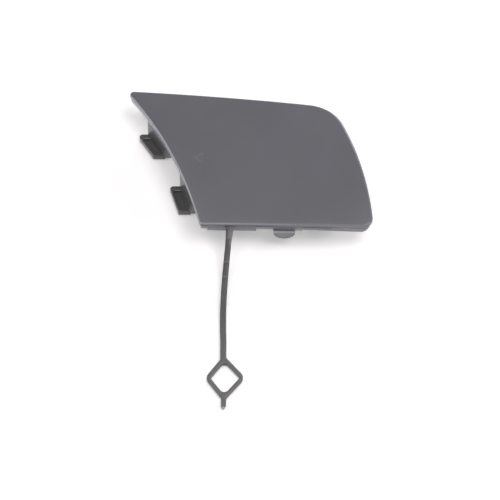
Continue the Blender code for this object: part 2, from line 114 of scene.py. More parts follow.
class FaceSizes(bpy.types.PropertyGroup):
    """Sizes of the crowned face and its rim."""

    lower_edge: length("Lower edge", "Length of the lower edge of the face", 74.1)
    lower_edge_fall: length("Lower edge fall", "How far the lower edge falls to the right", 1.3)
    height: length("Height", "From the lower left corner up to the pointed end", 69.6)
    tip_overhang: length("Tip overhang", "How far the pointed end reaches past the lower left corner", 33.5)
    top_fall: length("Top edge fall", "How far the top edge falls to the right", 9.9)
    top_right_inset: length(
        "Top right inset", "How far the top right corner stands inside the lower one", 16.4)
    tip_radius: length("Tip radius", "Rounding of the pointed end", 1.8)
    top_right_radius: length("Top right radius", "Rounding of the top right corner", 19.0)
    lower_right_radius: length("Lower right radius", "Rounding of the lower right corner", 5.2)
    lower_left_radius: length("Lower left radius", "Rounding of the lower left corner", 1.8)
    left_hollow: length("Left edge hollow", "How far the slanted left edge is drawn in", 3.6)
    right_bow: length("Right edge bow", "How far the right edge bulges", 3.5)
    crown_height: length("Crown height", "Height of the face over the table", 18.2)
    crown_across: length("Crown radius across", "Radius of the crown from left to right", 900)
    crown_up: length("Crown radius up", "Radius of the crown from bottom to top", 400)
    skin: length("Skin", "Thickness of the face", 2.4)
    edge_radius: length("Edge radius", "Rounding of the front edge", 1.1)
    edge_depth: length("Edge depth", "Depth of the front edge down to the step", 1.6)
    rim_setback: length("Rim setback", "How far the rim stands inside the front edge", 0.7)
    rim_wall: length("Rim wall", "Thickness of the rim", 1.6)
    rim_depth: length("Rim depth", "Depth of the rim below the face", 5.4)
    # The rim down to this depth takes the darker plastic colour as painted shade under the step.
    step_shade_depth: length("Bare depth", "Down to where the step keeps the primer off the rim", 3.5)


class BackSizes(bpy.types.PropertyGroup):
    """Sizes of what stands behind the face."""

    rib: length("Rib thickness", "Thickness of a stiffening rib", 1.2)
    rib_depth: length("Rib depth", "Depth of the ribs below the skin", 3.0)
    rib_pitch_across: length("Rib pitch across", "Distance between the upright ribs", 17.0)
    rib_pitch_up: length("Rib pitch up", "Distance between the level ribs", 19.0)
    first_rib_across: length("First upright rib", "Place of the first upright rib", 3.0)
    first_rib_up: length("First level rib", "Place of the first level rib", 14.0)
    arm_width: length("Snap arm width", "Width of a snap arm", 10.0)
    arm_thickness: length("Snap arm thickness", "Thickness of a snap arm", 1.8)
    arm_inset: length("Snap arm inset", "How far the snap arms stand inside the right edge", 8.5)
    barb: length("Barb", "How far a snap arm's barb stands out", 1.6)
    barb_height: length("Barb height", "Height of a barb's point over the table", 3.2)
    barb_return: length("Barb return", "Height of the slope above a barb's point", 0.8)
    arm_toe: length("Snap arm toe", "Width of a snap arm at the table", 1.1)
    ejector_radius: length("Ejector mark radius", "Radius of the marks that the ejector pins leave", 1.9)


class HookSizes(bpy.types.PropertyGroup):
    """Sizes of the two hooks on the slanted side."""

    reach: length("Reach", "How far a foot reaches out of its arm", 3.9)
    foot: length("Foot", "Thickness of a foot", 2.2)
    lip_rise: length("Lip rise", "Height of the lip over the foot", 1.0)
    lip: length("Lip width", "Width of the lip along a foot", 1.1)
    near_rib: length("Near rib", "Width of the rib at a foot's near end", 1.25)
    far_rib: length("Far rib", "Width of the rib at a foot's far end", 2.6)
    arm: length("Arm thickness", "Thickness of an arm", 1.6)
    corner: length("Corner radius", "Rounding of a foot's far outer corner", 1.3)
    web: length("Web thickness", "Thickness of the web behind an arm", 1.4)
    web_reach: length("Web reach", "How far the web reaches behind the arm", 2.8)
    lean: degrees("Arm lean", "How far the arms lean in towards the face", 13.5)


class EdgeSizes(bpy.types.PropertyGroup):
    """Sizes of the tongue and the walls under the lower edge."""

    tongue_start: length("Tongue start", "Where the tongue begins along the lower edge", 31.35)
    tongue_width: length("Tongue width", "Width of the tongue", 9.4)
    tongue_thickness: length("Tongue thickness", "Thickness of the tongue", 1.9)
    tongue_proud: length("Tongue proud", "How far the tongue stands in front of the rim", 1.2)
    tongue_shoulder: length("Tongue shoulder", "Depth of the tongue's shoulder below the face", 5.5)
    tongue_depth: length("Tongue depth", "Depth of the tongue's end below the face", 11.0)
    tongue_round: length("Tongue rounding", "Height of the tongue's rounded end", 4.5)
    ledge_start: length("Ledge start", "Where the ledge begins along the lower edge", 31.1)
    ledge_width: length("Ledge width", "Width of the ledge over the tongue", 12.7)
    ledge_depth: length("Ledge depth", "Depth of the ledge below the face", 5.9)
    root_start: length("Root wall start", "Where the tether's wall begins along the lower edge", 3.2)
    root_width: length("Root wall width", "Width of the wall that the tether grows out of", 20.9)
    root_depth: length("Root wall depth", "Depth of that wall below the face", 6.8)


class TetherSizes(bpy.types.PropertyGroup):
    """Sizes of the strap, the diamond loop and the sprue stub."""

    width: length("Strap width", "Width of the strap", 2.6)
    thickness: length("Strap thickness", "Thickness of the strap", 1.6)
    root_width: length("Root width", "Width of the strap where it leaves the cover", 3.9)
    root_taper: length("Root taper", "Length over which the root narrows", 7.5)
    root_drop: length("Root drop", "Depth of the strap's upper side below the face where it leaves", 3.0)
    start: length("Start", "Where the strap leaves the lower edge", 12.5)
    run: length("Run", "Length of the strap seen from above", 58.3)
    first_ridge: length("First ridge", "Place of the first cross ridge along the strap", 14.6)
    second_ridge: length("Second ridge", "Place of the second cross ridge along the strap", 20.6)
    sway: length("Sway", "How far the strap drifts to the left", 2.37)
    lift: length("Lift", "Height of the strap's end over the table", 0.12)
    loop_half_width: length("Loop half width", "Half of the loop's width before rounding", 8.55)
    loop_half_length: length("Loop half length", "Half of the loop's length before rounding", 11.1)
    loop_shortening: length("Loop shortening", "How much shorter the loop's far half is", 0.8)
    loop_shoulder: length("Loop shoulder", "How far the loop's side corners lie towards the strap", 0.5)
    loop_bar: length("Loop bar", "Width of the loop's bars", 2.05)
    loop_offset: length("Loop offset", "How far the loop's middle lies right of the strap's end", 0.86)
    loop_skew: length("Loop skew", "How far the loop's two points lie left of its middle", 0.6)
    loop_thickness: length("Loop thickness", "Thickness of the loop", 1.9)
    loop_round: length("Loop rounding", "Rounding of the loop's edges", 0.8)
    stub_width: length("Stub width", "Width of the sprue stub", 2.1)
    stub_length: length("Stub length", "Length of the stub past the loop", 2.5)


class FinishColours(bpy.types.PropertyGroup):
    """Colours of the two finishes."""

    primer: colour("Primer", "Colour of the primed face", (0.121, 0.1212, 0.1365))
    plastic: colour("Plastic", "Colour of the bare plastic", (0.092, 0.088, 0.09))
    strap: colour("Strap", "Colour of the strap and loop", (0.048, 0.0463, 0.0472))
    stressed: colour("Stressed plastic", "Colour of the torn end of the stub", (0.62, 0.62, 0.6))
    primer_roughness: share("Primer roughness", "Roughness of the primer", 0.3)
    plastic_roughness: share("Plastic roughness", "Roughness of the bare plastic", 0.34)


class StageSettings(bpy.types.PropertyGroup):
    """Camera, lamps and floor."""

    camera_distance: length("Camera distance", "From the camera to its aim on the table", 900)
    camera_elevation: degrees("Camera elevation", "Angle of the view over the table", 60)
    frame_width: length("Frame width", "Width of the picture at the aim", 215)
    right_power: power("Right power", "Power of the soft box at the right", 9.7)
    left_power: power("Left power", "Power of the soft box at the left", 4.9)
    back_power: power("Back power", "Power of the low lamp at the back", 7.6)
    low_power: power("Low power", "Power of each of the two low lamps at the sides", 5.4)
    world_light: share("World light", "Strength of the light from all sides", 0.03)
    floor_glow: share("Floor glow", "Brightness that the floor shows beside what it reflects", 0.32)


class Wire:
    """An output socket that can stand in an expression; each operation adds its Math node."""

    def __init__(self, finish, socket):
        self.finish = finish
        self.socket = socket

    def maths(self, operation, first, second, clamp=False):
        """Adds a Math node."""
        settings = {"operation": operation, "use_clamp": clamp}
        return self.finish.node("ShaderNodeMath", settings, {0: first, 1: second})

    def __add__(self, other):
        return self.maths("ADD", self, other)

    __radd__ = __add__

    def __sub__(self, other):
        return self.maths("SUBTRACT", self, other)

    def __rsub__(self, other):
        return self.maths("SUBTRACT", other, self)

    def __mul__(self, other):
        return self.maths("MULTIPLY", self, other)

    __rmul__ = __mul__

    def clamped(self):
        """The value held between 0 and 1."""
        return self.maths("ADD", self, 0.0, clamp=True)

    def larger(self, other):
        """The larger of two values."""
        return self.maths("MAXIMUM", self, other)


class Finish:
    """A node tree that is being wired up."""

    def __init__(self, tree):
        self.tree = tree
        tree.nodes.clear()

    def node(self, kind, settings=None, values=None, output=0):
        """Adds a node with its settings and its sockets' values or links, and returns an output."""
        made = self.tree.nodes.new(kind)
        for key, value in (settings or {}).items():
            setattr(made, key, value)
        for key, value in (values or {}).items():
            if isinstance(value, Wire):
                self.tree.links.new(value.socket, made.inputs[key])
            else:
                made.inputs[key].default_value = value
        return Wire(self, made.outputs[output]) if len(made.outputs) else None

    def mix(self, factor, low, high):
        """Mixes two colours. The colours of a Mix node are its inputs 6 and 7 and its output 2."""
        return self.node("ShaderNodeMix", {"data_type": "RGBA"}, {0: factor, 6: low, 7: high}, output=2)

    def place(self):
        """Position on the piece, in metres."""
        return self.node("ShaderNodeTexCoord", output="Object")

    def stretched(self, place, scale):
        """A position stretched along its axes."""
        return self.node("ShaderNodeVectorMath", {"operation": "MULTIPLY"}, {0: place, 1: scale})

    def along(self, place, axis):
        """One coordinate of a position."""
        return self.node("ShaderNodeSeparateXYZ", None, {"Vector": place}, output=axis)

    def layer(self, name):
        """The value that the mesh holds in a layer of its points."""
        return self.node("ShaderNodeAttribute", {"attribute_name": name}, output="Fac")

    def facing(self, direction, least):
        """How far the surface faces a direction, or the least value where that is larger."""
        normal = self.node("ShaderNodeNewGeometry", output="Normal")
        settings = {"operation": "DOT_PRODUCT"}
        faced = self.node("ShaderNodeVectorMath", settings, {0: normal, 1: direction}, output="Value")
        return faced.larger(least)

    def noise(self, place, scale, detail, roughness):
        """Cloudy noise from 0 to 1."""
        values = {"Vector": place, "Scale": scale, "Detail": detail, "Roughness": roughness}
        return self.node("ShaderNodeTexNoise", None, values)

    def between(self, value, low, high):
        """0 below low, 1 above high and smooth between."""
        values = {"Value": value, "From Min": low, "From Max": high}
        return self.node("ShaderNodeMapRange", {"interpolation_type": "SMOOTHSTEP"}, values)

    def bump(self, height, strength, distance, normal=None):
        """A bumped normal."""
        values = {"Height": height, "Strength": strength, "Distance": distance}
        if normal:
            values["Normal"] = normal
        return self.node("ShaderNodeBump", None, values, output="Normal")

    def shows_background(self):
        """1 for rays that show the background, 0 for rays that light the object."""
        rays = ("Is Camera Ray", "Is Glossy Ray", "Is Transmission Ray")
        camera, glossy, through = (self.node("ShaderNodeLightPath", output=ray) for ray in rays)
        return camera.larger(glossy).larger(through)

    def surface(self, values):
        """Ends a material in a Principled BSDF."""
        self.end("ShaderNodeOutputMaterial", self.node("ShaderNodeBsdfPrincipled", None, values))

    def end(self, kind, shader):
        """Ends the tree in an output node."""
        self.node(kind, None, {"Surface": shader})


def new_finish(name):
    """The node tree of a new material, ready to be wired up."""
    material = bpy.data.materials.new(name)
    material.use_nodes = True
    return Finish(material.node_tree)


def tinted(base, factor):
    """A colour made lighter or darker by a factor."""
    return (base[0] * factor, base[1] * factor, base[2] * factor, 1)


def plastic_colour(finish, place, base):
    """The uneven colour of moulded plastic: clouds, and fine specks of the filler."""
    cloudiness = 0.08
    speck_strength = 0.25
    clouds = finish.between(finish.noise(place, scale=90.0, detail=3.0, roughness=0.6), low=0.3, high=0.7)
    specks = finish.between(finish.noise(place, scale=2600.0, detail=2.0, roughness=0.7), low=0.62, high=0.75)
    clouded = finish.mix(clouds, tinted(base, 1 - cloudiness), tinted(base, 1 + cloudiness))
    return finish.mix(specks * speck_strength, clouded, tinted(base, factor=1.9))


def plastic_grain(finish, place):
    """The fine spark eroded grain of the mould's bare surfaces."""
    fine = finish.noise(place, scale=3800.0, detail=3.0, roughness=0.65)
    coarse = finish.noise(place, scale=420.0, detail=2.0, roughness=0.5)
    grain = finish.bump(fine, strength=0.35, distance=0.03 * MM)
    return finish.bump(coarse, strength=0.2, distance=0.08 * MM, normal=grain)


def primer_colour(finish, place, primer, clouds, mist):
    """Primer with soft clouds and a fine mist, and a painted highlight on the edges and walls that face the
    left and front, where the pale layer marks them.
    """
    cloudiness = 0.035
    mist_strength = 0.3
    loss_to_right = 0.45
    patchiness = 0.3
    clouded = finish.mix(
        finish.between(clouds, low=0.25, high=0.75),
        tinted(primer, 1 - cloudiness), tinted(primer, 1 + cloudiness))
    misted = finish.mix(
        finish.between(mist, low=0.55, high=0.8) * mist_strength, clouded, tinted(primer, factor=1.18))
    to_right = finish.between(finish.along(place, "X"), low=-20 * MM, high=30 * MM)
    # Painted highlight: where the pale layer is set, the primer is lifted towards a light tint on faces that
    # look left, front and up. It is weaker towards the right and patchy with the mist.
    thin = finish.facing((-0.85, -0.5, 0.45), least=0.08) * finish.layer("pale")
    thin = thin * (1 - to_right * loss_to_right)
    thin = thin + (mist - 0.5) * patchiness * thin
    return finish.mix(thin.clamped(), misted, tinted(primer, factor=4.2))


def bare_and_shade_places(finish, place):
    """1 where the mesh is bare plastic on the back and inside, and where it carries painted shade under the
    step, with a ragged border, and 0 elsewhere. The painted shade is lifted on faces that look to the left,
    and towards the right.
    """
    raggedness = 0.7
    shade_lift_at_right = 0.7
    to_right = finish.between(finish.along(place, "X"), low=20 * MM, high=45 * MM)
    shade_lifted = finish.facing((-0.8, 0, 0), least=to_right * shade_lift_at_right)
    spatter = finish.noise(place, scale=700.0, detail=3.0, roughness=0.7) - 0.5
    ragged = (finish.layer("bare_and_shade") - shade_lifted) * (1 + spatter * raggedness)
    return finish.between(ragged, low=0.4, high=0.6)


def primer_material(colours):
    """Grey primer over the face and rim, with bare plastic on the back and inside, and the same darker
    plastic colour as painted shade under the step.
    """
    finish = new_finish("primer_over_plastic")
    cloud_roughness = 0.1
    mist_roughness = 0.08
    bare_roughness = 0.6
    place = finish.place()
    clouds = finish.noise(place, scale=34.0, detail=4.0, roughness=0.55)
    mist = finish.noise(place, scale=900.0, detail=3.0, roughness=0.6)
    primer = primer_colour(finish, place, colours.primer, clouds, mist)
    primer_roughness = (
        colours.primer_roughness + (clouds - 0.5) * cloud_roughness + (mist - 0.5) * mist_roughness)
    bare_and_shade = bare_and_shade_places(finish, place)
    waves = finish.noise(place, scale=260.0, detail=2.0, roughness=0.5)
    grit = finish.noise(place, scale=3200.0, detail=2.0, roughness=0.6)
    orange_peel = finish.bump(waves, strength=0.12, distance=0.06 * MM)
    finish.surface({
        "Base Color": finish.mix(bare_and_shade, primer, plastic_colour(finish, place, colours.plastic)),
        "Roughness": primer_roughness * (1 - bare_and_shade) + bare_and_shade * bare_roughness,
        "Normal": finish.bump(grit, strength=0.25, distance=0.015 * MM, normal=orange_peel),
        "IOR": 1.5,
    })


def plastic_material(colours):
    """Bare moulded plastic of the hooks, walls, ribs and snap arms, with painted shade on the near faces,
    which look towards the front, and painted light where the pale layer marks it.
    """
    finish = new_finish("bare_plastic")
    sheen_roughness = 0.12
    painted_shade_strength = 0.45
    place = finish.place()
    sheen = finish.noise(place, scale=140.0, detail=3.0, roughness=0.6)
    # Painted shade: faces that look towards the front are darkened.
    near = finish.facing((0, -1, 0), least=0.0)
    base = plastic_colour(finish, place, colours.plastic)
    base = finish.mix(near * painted_shade_strength, base, tinted(colours.plastic, factor=0.3))
    finish.surface({
        "Base Color": finish.mix(finish.layer("pale"), base, tinted(colours.plastic, factor=3.2)),
        "Roughness": colours.plastic_roughness + (sheen - 0.5) * sheen_roughness,
        "Normal": plastic_grain(finish, place),
        "IOR": 1.5,
        "Coat Weight": 0.5,
        "Coat Roughness": 0.07,
        "Coat IOR": 1.6,
    })


def strap_material(colours, loop_y, tip_y):
    """Plastic of the strap, with painted light where the pale layer marks it, a painted highlight growing
    towards the loop, lengthwise streaks of tone, and white where the stub was torn.
    """
    finish = new_finish("strap_plastic")
    loop_light_strength = 0.8
    streak_strength = 0.12
    streak_roughness = 0.15
    torn_strength = 0.85
    torn_roughness = 0.3
    fray = 1.2 * MM
    roughness = colours.plastic_roughness + 0.06
    place = finish.place()
    up = finish.along(place, "Y")
    lengthwise = finish.stretched(place, (900.0, 60.0, 900.0))
    streaks = finish.noise(lengthwise, scale=1.0, detail=3.0, roughness=0.6) - 0.5
    # Painted highlight, strongest on the loop and fading up the strap.
    by_loop = 1 - finish.between(up, low=loop_y + 4 * MM, high=loop_y + 50 * MM)
    frayed = up + (finish.noise(place, scale=1500.0, detail=3.0, roughness=0.7) - 0.5) * fray
    torn = 1 - finish.between(frayed, low=tip_y, high=tip_y + 0.7 * MM)
    base = plastic_colour(finish, place, colours.strap)
    loop_light_and_streaks = (by_loop * loop_light_strength + streaks * streak_strength).clamped()
    base = finish.mix(loop_light_and_streaks, base, tinted(colours.strap, factor=2.75))
    base = finish.mix(finish.layer("pale"), base, tinted(colours.strap, factor=3.8))
    finish.surface({
        "Base Color": finish.mix(torn.clamped() * torn_strength, base, (*colours.stressed, 1)),
        "Roughness": roughness + streaks * streak_roughness + torn * torn_roughness,
        "Normal": plastic_grain(finish, place),
        "IOR": 1.5,
    })


def finishes():
    """The three materials, made once."""
    scene = bpy.context.scene
    if "bare_plastic" not in bpy.data.materials:
        loop_y = (loop_centre(scene.tether_sizes) + origin()).y
        tip_y = (stub_tip(scene.tether_sizes) + origin()).y
        primer_material(scene.finish_colours)
        plastic_material(scene.finish_colours)
        strap_material(scene.finish_colours, loop_y, tip_y)
    return bpy.data.materials


def inset_corners(corners, inset):
    """The corners of an anticlockwise polygon once all its sides have moved inward."""
    moved = []
    for i, here in enumerate(corners):
        back = (here - corners[i - 1]).normalized()
        ahead = (corners[(i + 1) % len(corners)] - here).normalized()
        turn = back.x * ahead.y - back.y * ahead.x
        moved.append(here + (ahead - back) * inset / turn)
    return moved


def shrunk(radii, inset, least=0.05 * MM):
    """The radii of an outline's corners once its sides have moved inward."""
    return [max(radius - inset, least) for radius in radii]


class Side:
    """One side of an outline, straight or bulging outward by its bow."""

    def __init__(self, start, end, bow):
        """Takes four times the bow, because at() has a quarter of it in the middle of the side."""
        self.start = start
        self.run = end - start
        self.out = Vector((self.run.y, -self.run.x)).normalized() * bow * 4

    def at(self, t):
        """The point at share t of the side."""
        return self.start + self.run * t + self.out * t * (1 - t)

    def heading(self, t):
        """The direction in which the side runs at share t."""
        return (self.run + self.out * (1 - 2 * t)).normalized()


def rounded_corner(start, heading_in, end, heading_out, steps):
    """Points of a smooth curve that leaves start and reaches end along the two headings."""
    turn = heading_in.x * heading_out.y - heading_in.y * heading_out.x
    gap = end - start
    corner = start + heading_in * (gap.x * heading_out.y - gap.y * heading_out.x) / turn
    weight = math.cos(heading_in.angle(heading_out) / 2)
    points = []
    for i in range(steps + 1):
        t = i / steps
        a = (1 - t) ** 2
        b = 2 * t * (1 - t) * weight
        c = t ** 2
        points.append((start * a + corner * b + end * c) / (a + b + c))
    return points


def rounded_outline(corners, radii, bows=None, side_steps=2, corner_steps=6):
    """A closed outline of sides, which may be bowed, and rounded corners."""
    count = len(corners)
    bows = bows or (0.0,) * count
    sides = [Side(corners[i], corners[(i + 1) % count], bows[i]) for i in range(count)]
    reaches = []
    for i, side in enumerate(sides):
        turn = sides[i - 1].heading(1).angle(side.heading(0))
        reaches.append(radii[i] * math.tan(turn / 2))
    outline = []
    for i, side in enumerate(sides):
        before = sides[i - 1]
        leave = 1 - reaches[i] / before.run.length
        low = reaches[i] / side.run.length
        high = 1 - reaches[(i + 1) % count] / side.run.length
        outline += rounded_corner(
            before.at(leave), before.heading(leave), side.at(low), side.heading(low), corner_steps)
        outline += [side.at(low + (high - low) * k / side_steps) for k in range(1, side_steps)]
    return outline


def face_outline(sizes, inset=0.0):
    """The outline of the face moved inward, always with the same number of points."""
    corners = inset_corners([
        Vector((0, 0)),
        Vector((sizes.lower_edge, -sizes.lower_edge_fall)),
        Vector((sizes.lower_edge - sizes.top_right_inset, sizes.height - sizes.top_fall)),
        Vector((-sizes.tip_overhang, sizes.height)),
    ], inset)
    radii = (sizes.lower_left_radius, sizes.lower_right_radius, sizes.top_right_radius, sizes.tip_radius)
    return rounded_outline(
        corners, shrunk(radii, inset, least=0.3 * MM),
        (0.0, sizes.right_bow, 0.0, -sizes.left_hollow), SIDE_STEPS, CORNER_STEPS)


def origin():
    """Where the lower left corner of the face lies in the frame."""
    outline = face_outline(bpy.context.scene.face_sizes)
    low, high = (Vector(corner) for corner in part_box(NODE))
    return Vector((low.x - min(p.x for p in outline), high.y - max(p.y for p in outline), 0))


def crown(x, y):
    """Height of the face over a point of the outline plane."""
    sizes = bpy.context.scene.face_sizes
    across = (x - CROWN_CENTRE.x) ** 2 / (2 * sizes.crown_across)
    up = (y - CROWN_CENTRE.y) ** 2 / (2 * sizes.crown_up)
    return sizes.crown_height - across - up


class Body:
    """A mesh being built from rings. Each point knows how bare of primer it is, a layer that also carries
    painted shade under the step, and how pale, which is painted light.
    """

    def __init__(self):
        self.mesh = bmesh.new()
        self.bare_and_shade = self.mesh.verts.layers.float.new("bare_and_shade")
        self.pale = self.mesh.verts.layers.float.new("pale")

    def ring(self, points, bare_and_shade=0.0, pale=0.0):
        """Adds one ring of points."""
        made = [self.mesh.verts.new(point) for point in points]
        for vert in made:
            vert[self.bare_and_shade] = bare_and_shade
            vert[self.pale] = pale
        return made

    def join(self, upper, lower):
        """Faces between two rings."""
        count = len(upper)
        for i in range(count):
            k = (i + 1) % count
            self.mesh.faces.new((upper[i], lower[i], lower[k], upper[k]))

    def cap(self, ring):
        """Closes a ring with faces to its middle."""
        middle = self.mesh.verts.new(sum((v.co for v in ring), Vector()) / len(ring))
        middle[self.bare_and_shade] = ring[0][self.bare_and_shade]
        middle[self.pale] = ring[0][self.pale]
        for i, vert in enumerate(ring):
            self.mesh.faces.new((middle, vert, ring[(i + 1) % len(ring)]))

    def loft(self, rings, bare_and_shade=None, pale=None):
        """A closed body through rings of points, first and last capped."""
        bare_and_shade = bare_and_shade or [0.0] * len(rings)
        pale = pale or [0.0] * len(rings)
        rows = [self.ring(*row) for row in zip(rings, bare_and_shade, pale)]
        for upper, lower in zip(rows, rows[1:]):
            self.join(upper, lower)
        self.cap(rows[0])
        self.cap(rows[-1])
        return rows

    def piece(self, name, material, sharp=35.0):
        """The finished piece, moved into the frame, riding on the body and standing for the node."""
        bmesh.ops.recalc_face_normals(self.mesh, faces=self.mesh.faces)
        bmesh.ops.transform(self.mesh, matrix=Matrix.Translation(origin()), verts=self.mesh.verts)
        data = bpy.data.meshes.new(name)
        self.mesh.to_mesh(data)
        self.mesh.free()
        thing = bpy.data.objects.new(name, data)
        bpy.context.scene.collection.objects.link(thing)
        data.materials.append(finishes()[material])
        data.shade_smooth()
        data.set_sharp_from_angle(angle=math.radians(sharp))
        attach(thing, BODY)
        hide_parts(NODE)


def flat_ring(outline, z):
    """An outline lifted to a height."""
    return [Vector((p.x, p.y, z)) for p in outline]


def round_levels(soft, low, high, steps):
    """Inset and height of each ring of an upright body with its lower and upper edges rounded."""
    turns = [math.pi / 2 * k / steps for k in range(steps + 1)]
    lower = [(soft * (1 - math.sin(turn)), low + soft * (1 - math.cos(turn))) for turn in turns]
    upper = [(soft * (1 - math.cos(turn)), high - soft * (1 - math.sin(turn))) for turn in turns]
    return lower + upper


def soft_block(body, corners, radii, low, high, soft, pale=0.0):
    """An upright block with rounded corners and softened edges, with painted light in its lower half."""
    rings = []
    paleness = []
    for inset, z in round_levels(soft, low, high, steps=3):
        points = rounded_outline(inset_corners(corners, inset), shrunk(radii, inset), corner_steps=5)
        rings.append(flat_ring(points, z))
        paleness.append(pale if z < (low + high) / 2 else 0.0)
    body.loft(rings, pale=paleness)


class FaceShell(bpy.types.Operator):
    """Builds the crowned face, its rounded front edge and the stepped rim"""

    bl_idname = "tow_cover.face_shell"
    bl_label = "Face Shell"

    def execute(self, context):
        sizes = context.scene.face_sizes
        body = Body()
        rings, bare_and_shade, pale = zip(*self.face(sizes), *self.rim(sizes), *self.inside(sizes))
        body.loft(rings, bare_and_shade, pale)
        body.piece("face_shell", "primer_over_plastic", sharp=60)
        return {"FINISHED"}

    def row(self, sizes, inset, drop, bare_and_shade=0.0, pale=0.0, shrink=1.0):
        """A ring of the face's outline, moved inward, lowered, and shrunk about the crown's centre."""
        ring = []
        for point in face_outline(sizes, inset):
            spot = CROWN_CENTRE + (point - CROWN_CENTRE) * shrink
            ring.append(Vector((spot.x, spot.y, crown(spot.x, spot.y) - drop)))
        return ring, bare_and_shade, pale

    def face(self, sizes):
        """The crowned face and its rounded front edge, which carries a painted highlight, strongest where it
        slopes by 50 degrees.
        """
        palest = 50
        spread = 30
        paleness = 0.8
        steps = 12
        radius = sizes.edge_radius
        rows = [self.row(sizes, radius, 0, shrink=i / CROWN_STEPS) for i in range(1, CROWN_STEPS)]
        for i in range(steps + 1):
            angle = math.pi / 2 * i / steps
            pale = max(0, 1 - ((math.degrees(angle) - palest) / spread) ** 2) * paleness
            rows.append(self.row(
                sizes, radius * (1 - math.sin(angle)), radius * (1 - math.cos(angle)), pale=pale))
        return rows

    def rim(self, sizes):
        """The step under the front edge and the rim's outside: near the step the rim takes the darker plastic
        colour as painted shade, and below it painted light through the pale layer.
        """
        outer = sizes.rim_setback
        middle = LIP * ARC_MIDDLE
        return [
            self.row(sizes, 0, sizes.edge_depth - LIP),
            self.row(sizes, middle, sizes.edge_depth - middle),
            self.row(sizes, LIP, sizes.edge_depth, bare_and_shade=0.2),
            self.row(sizes, outer - LIP, sizes.edge_depth, bare_and_shade=1, pale=0.5),
            self.row(sizes, outer, sizes.edge_depth + LIP, bare_and_shade=1, pale=1),
            self.row(sizes, outer, sizes.step_shade_depth - LIP, bare_and_shade=1, pale=1),
            self.row(sizes, outer, sizes.step_shade_depth + LIP, pale=0.8),
            self.row(sizes, outer, sizes.rim_depth - LIP, pale=1),
            self.row(sizes, outer + middle, sizes.rim_depth - middle, pale=1),
            self.row(sizes, outer + LIP, sizes.rim_depth, bare_and_shade=1),
        ]

    def inside(self, sizes):
        """The rim's inside and the back of the skin, so bare that no spray counts there."""
        bare_and_shade = 2.5
        inner = sizes.rim_setback + sizes.rim_wall
        middle = LIP * ARC_MIDDLE
        fillet = 0.5 * MM
        spots = (
            (inner - LIP, sizes.rim_depth),
            (inner - middle, sizes.rim_depth - middle),
            (inner, sizes.rim_depth - LIP),
            (inner, sizes.skin + fillet),
            (inner + fillet * ARC_MIDDLE, sizes.skin + fillet * ARC_MIDDLE),
            (inner + fillet, sizes.skin),
        )
        rows = [self.row(sizes, inset, drop, bare_and_shade=bare_and_shade) for inset, drop in spots]
        for i in range(CROWN_STEPS - 1, 0, -1):
            rows.append(self.row(sizes, inner + fillet, sizes.skin, bare_and_shade=bare_and_shade, shrink=i / CROWN_STEPS))
        return rows


def crossings(outline, axis, value):
    """Lowest and highest place where a line of constant x or y crosses an outline."""
    other = 1 - axis
    found = []
    for i, point in enumerate(outline):
        ahead = outline[(i + 1) % len(outline)]
        if (point[axis] - value) * (ahead[axis] - value) < 0:
            t = (value - point[axis]) / (ahead[axis] - point[axis])
            found.append(point[other] + (ahead[other] - point[other]) * t)
    return (min(found), max(found)) if found else None


class Ribs(bpy.types.Operator):
    """Builds the stiffening ribs and the ejector marks behind the face"""

    bl_idname = "tow_cover.ribs"
    bl_label = "Ribs"

    def execute(self, context):
        face = context.scene.face_sizes
        sizes = context.scene.back_sizes
        outline = face_outline(face, face.rim_setback + face.rim_wall / 2)
        body = Body()
        for axis, first, pitch in ((UP, sizes.first_rib_up, sizes.rib_pitch_up),
                                   (ACROSS, sizes.first_rib_across, sizes.rib_pitch_across)):
            value = first + sizes.rib / 2
            ends = crossings(outline, axis, value)
            while ends:
                self.rib(body, face, sizes, axis, value, ends)
                value += pitch
                ends = crossings(outline, axis, value)
        body.piece("stiffening_ribs", "bare_plastic")
        self.ejector_marks(face, sizes)
        return {"FINISHED"}

    def rib(self, body, face, sizes, axis, value, ends):
        """One rib with a little draft and a rounded lower edge, sunk into the skin."""
        steps = 16
        drafted = 0.97
        sunk = face.skin * 0.6
        root_depth = face.skin * 0.9
        half = sizes.rib / 2
        bottom = face.crown_height - face.skin - sizes.rib_depth
        # Share of the rib's half thickness, and height.
        lower_edge = ((0.55, bottom), (0.78, bottom + 0.06 * MM), (0.86, bottom + 0.2 * MM))
        rings = []
        for i in range(steps + 1):
            run = ends[0] + (ends[1] - ends[0]) * i / steps
            x, y = (value, run) if axis == ACROSS else (run, value)
            top = crown(x, y) - sunk
            profile = (*lower_edge, (drafted, top - root_depth), (1.0, top))
            section = [(-side, z) for side, z in reversed(profile)] + list(profile)
            if axis == ACROSS:
                rings.append([Vector((x + side * half, y, z)) for side, z in section])
            else:
                rings.append([Vector((x, y + side * half, z)) for side, z in section])
        body.loft(rings)

    def ejector_marks(self, face, sizes):
        """Round marks that the ejector pins leave on the back of the skin."""
        segments = 28
        # Places of the pins, in millimetres.
        pins = ((-4, 44), (12, 24), (12, 57), (29, 9), (29, 42), (46, 24), (46, 54), (62, 9))
        # Share of the mark's radius, and depth below the skin in millimetres.
        profile = ((1.0, -0.3), (1.0, 0.05), (0.93, 0.11), (0.84, 0.11), (0.8, 0.03))
        angles = [math.tau * i / segments for i in range(segments)]
        body = Body()
        for x, y in pins:
            middle = Vector((x * MM, y * MM))
            back = crown(middle.x, middle.y) - face.skin
            rings = []
            for radius, drop in profile:
                reach = sizes.ejector_radius * radius
                circle = [middle + Vector((math.cos(angle), math.sin(angle))) * reach for angle in angles]
                rings.append(flat_ring(circle, back - drop * MM))
            body.loft(rings)
        body.piece("ejector_marks", "bare_plastic")


